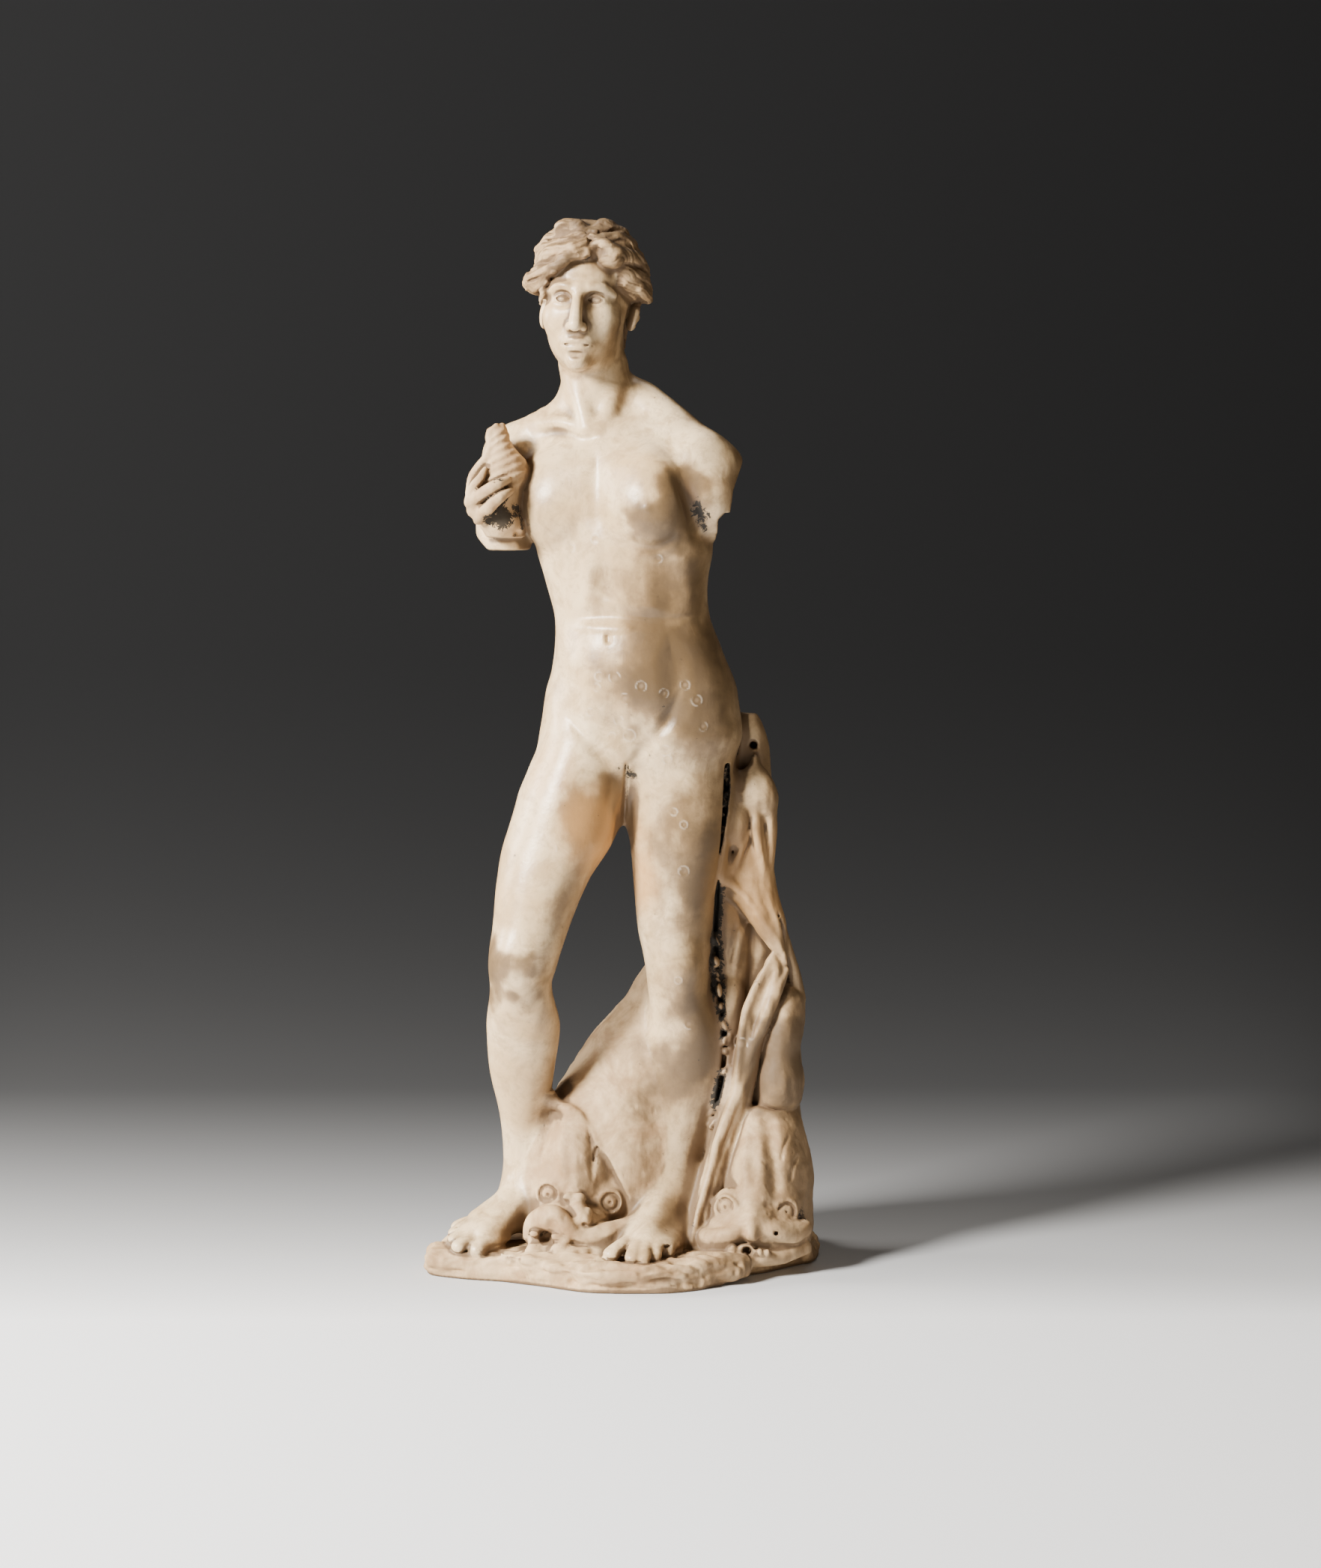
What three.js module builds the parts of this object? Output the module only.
// Marble statue of a standing sea goddess with two dolphins, after a weathered antique figure.
// Units are millimetres, +Z is up, the figure looks along -Y and its base stands on z = 0.
// The whole block is one solid: shapes are added and cut, one after another, in a field of
// distances on a regular grid, and the surface where the distance is zero becomes the mesh.

import * as THREE from 'three';
import { edgeTable, triTable } from 'three/addons/objects/MarchingCubes.js';

// Driving sizes

const GRID_LOW = [-241, -178, -7.5];
const GRID_HIGH = [241, 168, 1192];
const GRID_STEP = 3.6;
const MOST_TRIANGLES = 9800;
const FAR = 60;
const MARBLE_COLOUR = 0xd9cdb8;
// balls of fine carving that keep more triangles: x, y, z, radius, how much closer they are kept
const FINE_PLACES = [
  [-38, -20, 1090, 105, 4], [-140, -30, 880, 60, 2], [-60, -60, 80, 80, 3], [145, -50, 80, 80, 3],
  [-150, -70, 40, 70, 2.5], [15, -100, 35, 55, 2.5],
];

const BASE_TOP = 28;
const BASE_ROUND = 11;
const LEVEL_BREAK = 806;
const DOWEL_HOLE = 5;

// height, centre x, centre y, half width, front depth, back depth, squareness, turn
const TRUNK_SECTIONS = [
  [520, 14, 10, 12, 10, 20, 2, -14],
  [534, 14, 8, 36, 20, 40, 2, -14],
  [548, 14, 6, 60, 32, 56, 2, -14],
  [572, 17, 4, 94, 48, 70, 2.1, -14],
  [605, 21, 2, 110, 62, 78, 2.2, -14],
  [648, 21, 2, 107, 69, 74, 2.2, -15],
  [698, 16, 0, 95, 66, 60, 2.1, -17],
  [735, 9, -1, 89, 60, 56, 2.1, -20],
  [773, 3, -1, 94, 61, 60, 2.15, -23],
  [810, 0, 0, 103, 63, 68, 2.2, -25],
  [860, -8, 3, 106, 62, 74, 2.3, -25],
  [895, -12, 7, 102, 58, 70, 2.3, -25],
  [925, -16, 12, 88, 48, 56, 2.1, -25],
  [950, -20, 18, 58, 36, 40, 2, -25],
  [970, -24, 20, 38, 28, 30, 2, -20],
  [985, -26, 19, 30, 22, 24, 2, -20],
  [996, -28, 18, 10, 8, 10, 2, -20],
];

const STANDING_LEG = [
  [680, 56, 8, 26, 28, 36],
  [650, 60, 7, 44, 46, 56],
  [620, 63, 6, 56, 56, 64],
  [590, 63, 4, 61, 61, 67],
  [534, 64, 2, 60, 60, 62],
  [496, 62, 0, 57, 59, 57],
  [458, 60, -1, 51, 55, 51],
  [420, 58, -2, 46, 50, 46],
  [382, 57, -3, 41.5, 45, 42],
  [356, 59, -4, 38, 42, 40],
  [335, 60, -3, 35.5, 41, 38],
  [305, 62, 0, 34, 36, 39],
  [262, 67, 3, 38.5, 33, 47],
  [211, 68, 6, 37, 31, 43],
  [160, 64, 6, 30, 27, 32],
  [113, 56, 3, 24.5, 26, 27],
  [92, 53, 1, 24, 27, 28],
  [70, 51, -1, 25, 28, 30],
];

const BENT_LEG = [
  [680, -26, 8, 24, 28, 36],
  [650, -36, 8, 40, 46, 56],
  [620, -40, 6, 44, 55, 64],
  [590, -45, 3, 50, 61, 70],
  [560, -51, -1, 57, 62, 68],
  [532, -58, -6, 61, 62, 63],
  [488, -71, -15, 61, 57, 57],
  [438, -91, -27, 51, 51, 50],
  [387, -104, -38, 42.5, 44, 44],
  [362, -110, -42, 40, 42, 41],
  [345, -113, -42, 38, 41, 39],
  [324, -115, -38, 34.5, 37, 37],
  [275, -113, -23, 41, 33, 45],
  [223, -115, -7, 36.5, 30, 42],
  [170, -114, 7, 27, 26, 31],
  [121, -116, 18, 21.5, 24, 24],
  [98, -116, 21, 22, 25, 25],
  [75, -116, 21, 24, 27, 27],
];

const HAIR_MASS = [
  [1171, -40, 12, 8, 10, 14],
  [1168, -40, 12, 24, 27, 33],
  [1162, -39, 12, 37, 38, 47],
  [1154, -39, 12, 47, 46, 58],
  [1146, -40, 12, 53, 52, 65],
  [1136, -39, 12, 58, 53, 70],
  [1125, -37, 12, 60, 50, 75],
  [1112, -36, 12, 60, 40, 77],
  [1098, -36, 14, 58, 30, 77],
  [1085, -36, 16, 54, 20, 74],
  [1070, -37, 18, 48, 12, 68],
  [1050, -37, 22, 42, 8, 56],
  [1030, -36, 24, 38, 6, 44],
];
const CROWN = [-38, 12, 1108];
const CROWN_REACH = [53, 68, 60];

// path, radii, swing, turns and start of the swing
const FRONT_WAVES = [
  [
    [
      [-42, -50, 1149], [-57, -47, 1148], [-71, -40, 1144], [-84, -27, 1139], [-92, -9, 1134],
      [-92, 14, 1128],
    ],
    [4, 6.5, 7.5, 7.5, 7, 5], 2.4, 1.6, 0.4,
  ],
  [
    [
      [-41, -58, 1141], [-55, -59, 1138], [-69, -54, 1133], [-81, -41, 1127], [-90, -24, 1122],
      [-95, -3, 1118],
    ],
    [4, 7.5, 8, 8, 7, 6], 2.6, 1.5, 2.4,
  ],
  [
    [[-39, -60, 1131], [-50, -62, 1128], [-63, -59, 1123], [-75, -52, 1117], [-86, -39, 1111]],
    [3.5, 6.5, 7.5, 7.5, 6], 2.2, 1.4, 4.2,
  ],
  [
    [[-34, -52, 1149], [-21, -51, 1149], [-7, -46, 1145], [6, -35, 1139], [14, -20, 1133], [18, 0, 1128]],
    [4, 6.5, 7.5, 7.5, 7, 5], 2.4, 1.6, 3.4,
  ],
  [
    [
      [-32, -58, 1139], [-20, -60, 1138], [-6, -55, 1133], [6, -45, 1127], [16, -31, 1121], [22, -14, 1115],
      [24, 6, 1110],
    ],
    [4, 7, 8, 8, 8, 7.5, 6], 2.6, 1.8, 0.8,
  ],
  [
    [[-12, -36, 1122], [3, -41, 1115], [15, -34, 1108], [23, -18, 1101], [27, 2, 1096]],
    [3, 5, 7, 7.5, 6.5], 1.8, 1.4, 2.2,
  ],
  [
    [[-8, -26, 1108], [8, -32, 1100], [18, -28, 1094], [26, -12, 1088], [27, 6, 1083]], [2, 4.5, 6.5, 7, 6],
    1.5, 1.3, 5,
  ],
];

const SHELL_ROWS = [
  [946, -134, -14, 3, 4, 6],
  [940, -140, -14, 11, 10, 14],
  [930, -139.5, -14, 13.5, 13, 18],
  [922, -137, -14, 14.5, 15, 22],
  [914, -134.5, -14, 18.5, 18, 28],
  [906, -133, -14, 25, 21, 34],
  [898, -134, -13, 28.5, 24, 38],
  [889, -136, -12, 32, 28, 42],
  [873, -142, -12, 32, 31, 44],
  [856, -143, -12, 31, 31, 44],
  [840, -137, -12, 28, 29, 44],
  [828, -133, -10, 24, 26, 44],
  [821, -131, -8, 21, 22, 44],
];

const SHELL_RIBS = [
  [-147, -24, 929, -139, -28, 935, -131, -24, 940],
  [-147, -26, 921, -137, -30, 927, -127, -25, 933],
  [-147, -30, 912, -134, -34, 919, -122, -28, 926],
  [-147, -33, 903, -131, -38, 911, -117, -31, 919],
  [-149, -37, 893, -131, -41, 902, -112, -33, 911],
  [-149, -40, 884, -130, -44, 893, -109, -34, 902],
  [-143, -43, 878, -128, -46, 885, -108, -35, 893],
  [-130, -45, 874, -120, -44, 878, -109, -36, 884],
];

// root side and y, tip side and y, radius, lift of the tip
const STANDING_TOES = [
  [24, -94, 34, -130, 8.2, 0],
  [11, -106, 9, -136, 7.2, 0],
  [0, -106, -3, -133, 6.8, 0],
  [-10, -99, -12, -120, 6.5, 0],
  [-19, -86, -21, -98, 6.6, 0],
];

const BENT_TOES = [
  [24, -80, 27, -113, 8.8, 0],
  [10, -83, 10, -126, 7.8, 1],
  [-4, -81, -7, -117, 7.4, 2],
  [-16, -73, -21, -103, 7.2, 3],
  [-27, -60, -34, -86, 7, 4],
];

const LEG_GROOVE = [
  [114, -18, 568], [113, -18, 540], [110.5, -16, 508], [107.5, -14, 482], [105, -12, 458],
  [104.5, -10, 428], [103.5, -6, 393], [102.5, -6, 360], [104, -6, 332], [108.5, -8, 300], [113, -10, 270],
  [113, -10, 236], [107.5, -12, 202], [99, -14, 166],
];

const BASE_OUTLINE = [
  [-223, -66], [-195, -85], [-135, -105], [-85, -132], [-35, -157], [8, -160], [46, -157], [72, -147],
  [98, -124], [128, -92], [200, -32], [217, 37], [205, 85], [150, 122], [60, 138], [-60, 130], [-120, 85],
  [-180, 20], [-222, -30],
];

const D1_BODY = [
  [344, 42, 66, 8, 10, 14],
  [330, 42, 64, 19, 20, 24],
  [300, 42, 60, 38, 38, 36],
  [258, 26, 54, 59, 56, 46],
  [223, 13, 50, 70, 66, 52],
  [192, 0, 46, 77, 74, 56],
  [150, -6, 42, 80, 80, 60],
  [90, -8, 40, 80, 82, 60],
  [10, -8, 40, 78, 76, 60],
];

const D1_HEAD = [
  [200, -50, 38, 22, 12, 30, 2.2],
  [186, -46, 34, 35, 31, 34, 2.4],
  [150, -43, 22, 60, 48, 34, 2.7],
  [120, -42, 16, 68, 50, 34, 2.8],
  [90, -43, 10, 72, 50, 34, 2.8],
  [50, -44, 8, 70, 50, 34, 2.6],
  [10, -46, 8, 66, 48, 34, 2.4],
];

const D2_HEAD = [
  [178, 163, 14, 32, 38, 44],
  [165, 163, 12, 38, 45, 48],
  [143, 162, 8, 44, 52, 54],
  [117, 160, 4, 53, 58, 60],
  [91, 158, 2, 57, 60, 64],
  [52, 157, 2, 57, 58, 66],
  [24, 158, 6, 54, 50, 62],
];

const D2_ROLL = [
  [318, 186, 24, 10, 16, 26],
  [302, 183, 20, 22, 32, 40],
  [286, 181, 18, 24, 38, 46],
  [260, 177, 16, 26, 42, 50],
  [238, 175, 14, 24, 40, 50],
  [208, 176, 12, 29, 43, 52],
  [186, 175, 12, 27, 39, 48],
  [174, 175, 14, 20, 26, 34],
];

const SUPPORT = [
  [622, 142, 30, 8, 10, 12],
  [606, 145, 30, 13, 16, 18],
  [583, 147, 32, 17, 20, 22],
  [557, 147, 34, 19, 25, 28],
  [511, 144, 36, 22, 28, 32],
  [447, 141, 38, 26, 30, 36],
  [420, 142, 40, 29, 32, 40],
  [396, 145, 40, 32, 32, 42],
  [357, 151, 40, 39, 32, 44],
  [319, 155, 40, 44, 32, 46],
  [289, 157, 38, 46, 32, 46],
  [240, 158, 36, 43, 34, 48],
  [180, 156, 34, 44, 36, 50],
  [100, 156, 34, 50, 38, 52],
  [10, 156, 34, 52, 40, 52],
];

const BUNDLE = [
  [577, 147, 4, 3, 4, 6],
  [568, 147.5, 3, 5.5, 8, 9],
  [558, 148, 2, 14, 13, 16],
  [544, 149, 0, 21, 17, 20],
  [530, 149.5, -1, 23.5, 19, 24],
  [515, 149, 0, 22, 17, 24],
  [500, 147, 2, 18, 12, 20],
];

const FIRST_FOLD = [
  [494, 140, 4, 4, 12, 8],
  [476, 143, 2, 15, 15, 16],
  [455, 140, 1, 26, 16, 18],
  [440, 139, 0, 31, 17, 18],
  [425, 143, -1, 29, 17, 18],
  [405, 153, -2, 24, 16, 18],
  [385, 163, -3, 19, 14, 16],
  [368, 170, -4, 13, 11, 14],
  [352, 177, -4, 7, 8, 10],
  [342, 181, -4, 3, 5, 6],
];

const BACK_PANEL = [
  [328, 122, 6, 5, 7, 10],
  [318, 122, 6, 13, 11, 14],
  [300, 121, 6, 16, 13, 14],
  [262, 118, 6, 15, 13, 14],
  [220, 117, 4, 14, 13, 14],
  [190, 112, 0, 12, 12, 14],
];

const TAIL = [
  [226, 134, -6, 16, 12, 20, 2.4],
  [200, 126, -10, 19, 14, 20, 2.4],
  [163, 121, -13, 18.5, 13, 20, 2.4],
  [126, 109, -20, 16, 13, 22, 2.4],
  [91, 97, -30, 13.5, 13, 24, 2.4],
  [57, 85, -42, 12, 13, 26, 2.4],
  [30, 79, -54, 11.5, 13, 26, 2.4],
  [10, 77, -58, 11, 12, 22, 2.4],
];

// Places and directions

/** Turns in degrees about X, then Y, then Z, as nine numbers, row by row. */
function turnMatrix(turn) {
  const [a, b, c] = turn.map((t) => (t * Math.PI) / 180);
  const [ca, cb, cc] = [a, b, c].map(Math.cos);
  const [sa, sb, sc] = [a, b, c].map(Math.sin);
  return [
    cc * cb, cc * sb * sa - sc * ca, cc * sb * ca + sc * sa,
    sc * cb, sc * sb * sa + cc * ca, sc * sb * ca - cc * sa,
    -sb, cb * sa, cb * ca,
  ];
}

/** A place, a turn and a scale in which shapes are described. */
class Frame {
  constructor(origin = [0, 0, 0], turn = [0, 0, 0], scale = 1) {
    this.origin = origin;
    this.axes = turnMatrix(turn);
    this.scale = scale;
  }

  out([x, y, z]) {
    const [m, s] = [this.axes, this.scale];
    return [0, 1, 2].map((i) => this.origin[i] + s * (m[3 * i] * x + m[3 * i + 1] * y + m[3 * i + 2] * z));
  }
}

const WORLD = new Frame();

// Smooth lines

/** Values read at even steps from a smooth line through the knots that never overshoots them. */
function smoothTable(x, y, steps) {
  const n = x.length;
  const h = x.slice(1).map((v, i) => v - x[i]);
  const d = h.map((v, i) => (y[i + 1] - y[i]) / v);
  const m = new Array(n).fill(0);
  m[0] = d[0];
  m[n - 1] = d[n - 2];
  for (let i = 1; i < n - 1; i++) {
    if (d[i - 1] * d[i] > 0) {
      const a = 2 * h[i] + h[i - 1];
      const b = h[i] + 2 * h[i - 1];
      m[i] = (a + b) / (a / d[i - 1] + b / d[i]);
    }
  }
  const out = new Float64Array(steps + 1);
  for (let s = 0, i = 0; s <= steps; s++) {
    const at = x[0] + ((x[n - 1] - x[0]) * s) / steps;
    while (i < n - 2 && at > x[i + 1]) i++;
    const t = (at - x[i]) / h[i];
    out[s] = (1 + 2 * t) * (1 - t) ** 2 * y[i] + t * (1 - t) ** 2 * h[i] * m[i]
      + t * t * (3 - 2 * t) * y[i + 1] + t * t * (t - 1) * h[i] * m[i + 1];
  }
  return out;
}

function read(table, place) {
  const at = Math.min(Math.max(place, 0), 1) * (table.length - 1);
  const i = Math.min(Math.floor(at), table.length - 2);
  return table[i] + (table[i + 1] - table[i]) * (at - i);
}

/** Points on a smooth curve through the given ones. */
function curvePoints(points, each) {
  if (points.length === 2) return points;
  const knots = points.map((p) => new THREE.Vector3(...p));
  const curve = new THREE.CatmullRomCurve3(knots, false, 'catmullrom', 0.5);
  return curve.getPoints((points.length - 1) * each).map((v) => v.toArray());
}

// Shapes. Each has a box, low and high, and a distance that is negative inside.

function ball(centre, radii, turn = [0, 0, 0]) {
  const m = turnMatrix(turn);
  const [r0, r1, r2] = radii;
  const reach = [0, 1, 2].map((i) => Math.hypot(m[3 * i] * r0, m[3 * i + 1] * r1, m[3 * i + 2] * r2));
  const distance = (x, y, z) => {
    x -= centre[0];
    y -= centre[1];
    z -= centre[2];
    const u = (m[0] * x + m[3] * y + m[6] * z) / r0;
    const v = (m[1] * x + m[4] * y + m[7] * z) / r1;
    const w = (m[2] * x + m[5] * y + m[8] * z) / r2;
    const k = Math.sqrt(u * u + v * v + w * w);
    return (k * (k - 1)) / (Math.sqrt((u / r0) ** 2 + (v / r1) ** 2 + (w / r2) ** 2) + 1e-6);
  };
  return { low: centre.map((c, i) => c - reach[i]), high: centre.map((c, i) => c + reach[i]), distance };
}

/** A chain of cones along a smooth curve; flat squeezes the section along X, Y and Z. */
function tube(points, radii, flat = [1, 1, 1], each = 5) {
  const line = curvePoints(points, each).map((p) => p.map((v, i) => v / flat[i]));
  const rad = line.map((p, i) => {
    const at = (i / (line.length - 1)) * (radii.length - 1);
    const j = Math.min(Math.floor(at), radii.length - 2);
    return radii[j] + (radii[j + 1] - radii[j]) * (at - j);
  });
  const least = Math.min(...flat);
  const end = (i, sign, pick) => pick(...line.map((p, j) => p[i] + sign * rad[j])) * flat[i];
  const ends = (sign, pick) => [0, 1, 2].map((i) => end(i, sign, pick));
  const distance = (x, y, z) => {
    x /= flat[0];
    y /= flat[1];
    z /= flat[2];
    let best = Infinity;
    for (let i = 0; i < line.length - 1; i++) {
      const [a, b] = [line[i], line[i + 1]];
      const [dx, dy, dz] = [b[0] - a[0], b[1] - a[1], b[2] - a[2]];
      const [px, py, pz] = [x - a[0], y - a[1], z - a[2]];
      const t = Math.min(Math.max((px * dx + py * dy + pz * dz) / (dx * dx + dy * dy + dz * dz + 1e-9), 0), 1);
      const gap = Math.hypot(px - t * dx, py - t * dy, pz - t * dz) - (rad[i] + (rad[i + 1] - rad[i]) * t);
      if (gap < best) best = gap;
    }
    return best * least;
  };
  return { low: ends(-1, Math.min), high: ends(1, Math.max), distance };
}

/**
 * Sections stacked along Z. A row holds the height, the centre's x and y, half the width,
 * the depth in front and behind, the squareness and the turn of its section.
 */
function loft(rows) {
  const s = rows.map((r) => [...r, ...[2, 0].slice(r.length - 6)]).sort((a, b) => a[0] - b[0]);
  const [z0, z1] = [s[0][0], s[s.length - 1][0]];
  const tables = [1, 2, 3, 4, 5, 6, 7].map((k) => smoothTable(s.map((r) => r[0]), s.map((r) => r[k]), 400));
  const wide = (r) => Math.max(r[3], r[4], r[5]);
  const distance = (x, y, z) => {
    const zz = Math.min(Math.max(z, z0), z1);
    const at = (zz - z0) / (z1 - z0);
    const [cx, cy, a, front, back, n, turn] = tables.map((t) => read(t, at));
    const [c, t] = [Math.cos((turn * Math.PI) / 180), Math.sin((turn * Math.PI) / 180)];
    const dx = c * (x - cx) + t * (y - cy);
    const dy = c * (y - cy) - t * (x - cx);
    const d = dy < 0 ? front : back;
    const u = Math.abs(dx) / a + 1e-4;
    const v = Math.abs(dy) / d + 1e-4;
    const [un, vn] = [u ** (n - 1), v ** (n - 1)];
    const total = un * u + vn * v;
    const k = total ** (1 / n);
    const side = (k - 1) / ((k / total) * Math.hypot(un / a, vn / d));
    const over = Math.abs(z - zz);
    return over > 0 ? Math.hypot(Math.max(side, 0), over) : side;
  };
  return {
    low: [Math.min(...s.map((r) => r[1] - wide(r))), Math.min(...s.map((r) => r[2] - wide(r))), z0],
    high: [Math.max(...s.map((r) => r[1] + wide(r))), Math.max(...s.map((r) => r[2] + wide(r))), z1],
    distance,
  };
}

function block(centre, halves, turn = [0, 0, 0]) {
  const m = turnMatrix(turn);
  const reach = [0, 1, 2].map((i) => [0, 1, 2].reduce((sum, j) => sum + Math.abs(m[3 * i + j]) * halves[j], 0));
  const distance = (x, y, z) => {
    const p = [x - centre[0], y - centre[1], z - centre[2]];
    const q = [0, 1, 2].map((i) => Math.abs(m[i] * p[0] + m[3 + i] * p[1] + m[6 + i] * p[2]) - halves[i]);
    return Math.hypot(...q.map((v) => Math.max(v, 0))) + Math.min(Math.max(...q), 0);
  };
  return { low: centre.map((c, i) => c - reach[i]), high: centre.map((c, i) => c + reach[i]), distance };
}

/** A flat plate whose outline is smooth through the points around its centre. */
function slab(outline, bottom, top, roundBy) {
  const knots = outline.map(([x, y]) => [Math.atan2(y, x), Math.hypot(x, y)]).sort((a, b) => a[0] - b[0]);
  const around = [-1, 0, 1].flatMap((k) => knots.map(([a, r]) => [a + 2 * Math.PI * k, r]));
  const [first, last] = [around[0][0], around[around.length - 1][0]];
  const table = smoothTable(around.map((k) => k[0]), around.map((k) => k[1]), 1200);
  const big = Math.max(...knots.map((k) => k[1]));
  const distance = (x, y, z) => {
    const edge = read(table, (Math.atan2(y, x) - first) / (last - first));
    const side = (Math.hypot(x, y) - edge) * 0.9 + roundBy;
    const up = Math.abs(z - (bottom + top) / 2) - (top - bottom) / 2 + roundBy;
    return Math.min(Math.max(side, up), 0) + Math.hypot(Math.max(side, 0), Math.max(up, 0)) - roundBy;
  };
  return { low: [-big, -big, bottom], high: [big, big, top], distance };
}

/** A line for pressing along. It reaches six times as far in y, and its ends fade out. */
function line(points, fade = 0) {
  return tube(points, [-fade, 0, 0, 0, -fade], [1, 6, 1]);
}

/** What two shapes have in common. */
function both(a, b) {
  return {
    low: a.low.map((v, i) => Math.max(v, b.low[i])),
    high: a.high.map((v, i) => Math.min(v, b.high[i])),
    distance: (x, y, z) => Math.max(a.distance(x, y, z), b.distance(x, y, z)),
  };
}

/** A torus around its own Y axis. */
function ring(centre, radius, thick) {
  const reach = radius + thick;
  const distance = (x, y, z) => {
    const flat = Math.hypot(x - centre[0], z - centre[2]) - radius;
    return Math.hypot(flat, y - centre[1]) - thick;
  };
  return { low: centre.map((c) => c - reach), high: centre.map((c) => c + reach), distance };
}

/** A convex outline of [x, z] corners, carried from y = front to y = back. */
function prism(corners, front, back) {
  const area = corners.reduce((sum, [x, z], i) => {
    const [u, w] = corners[(i + 1) % corners.length];
    return sum + x * w - u * z;
  }, 0);
  const p = area < 0 ? [...corners].reverse() : corners;
  const sides = p.map(([x, z], i) => {
    const [u, w] = p[(i + 1) % p.length];
    const long = Math.hypot(u - x, w - z);
    const n = [(w - z) / long, (x - u) / long];
    return [...n, n[0] * x + n[1] * z];
  });
  const distance = (x, y, z) => {
    let far = Math.max(front - y, y - back);
    for (const [a, b, c] of sides) far = Math.max(far, a * x + b * z - c);
    return far;
  };
  const [xs, zs] = [p.map((c) => c[0]), p.map((c) => c[1])];
  return {
    low: [Math.min(...xs), front, Math.min(...zs)],
    high: [Math.max(...xs), back, Math.max(...zs)],
    distance,
  };
}

// The field that shapes are added to and cut from

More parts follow.
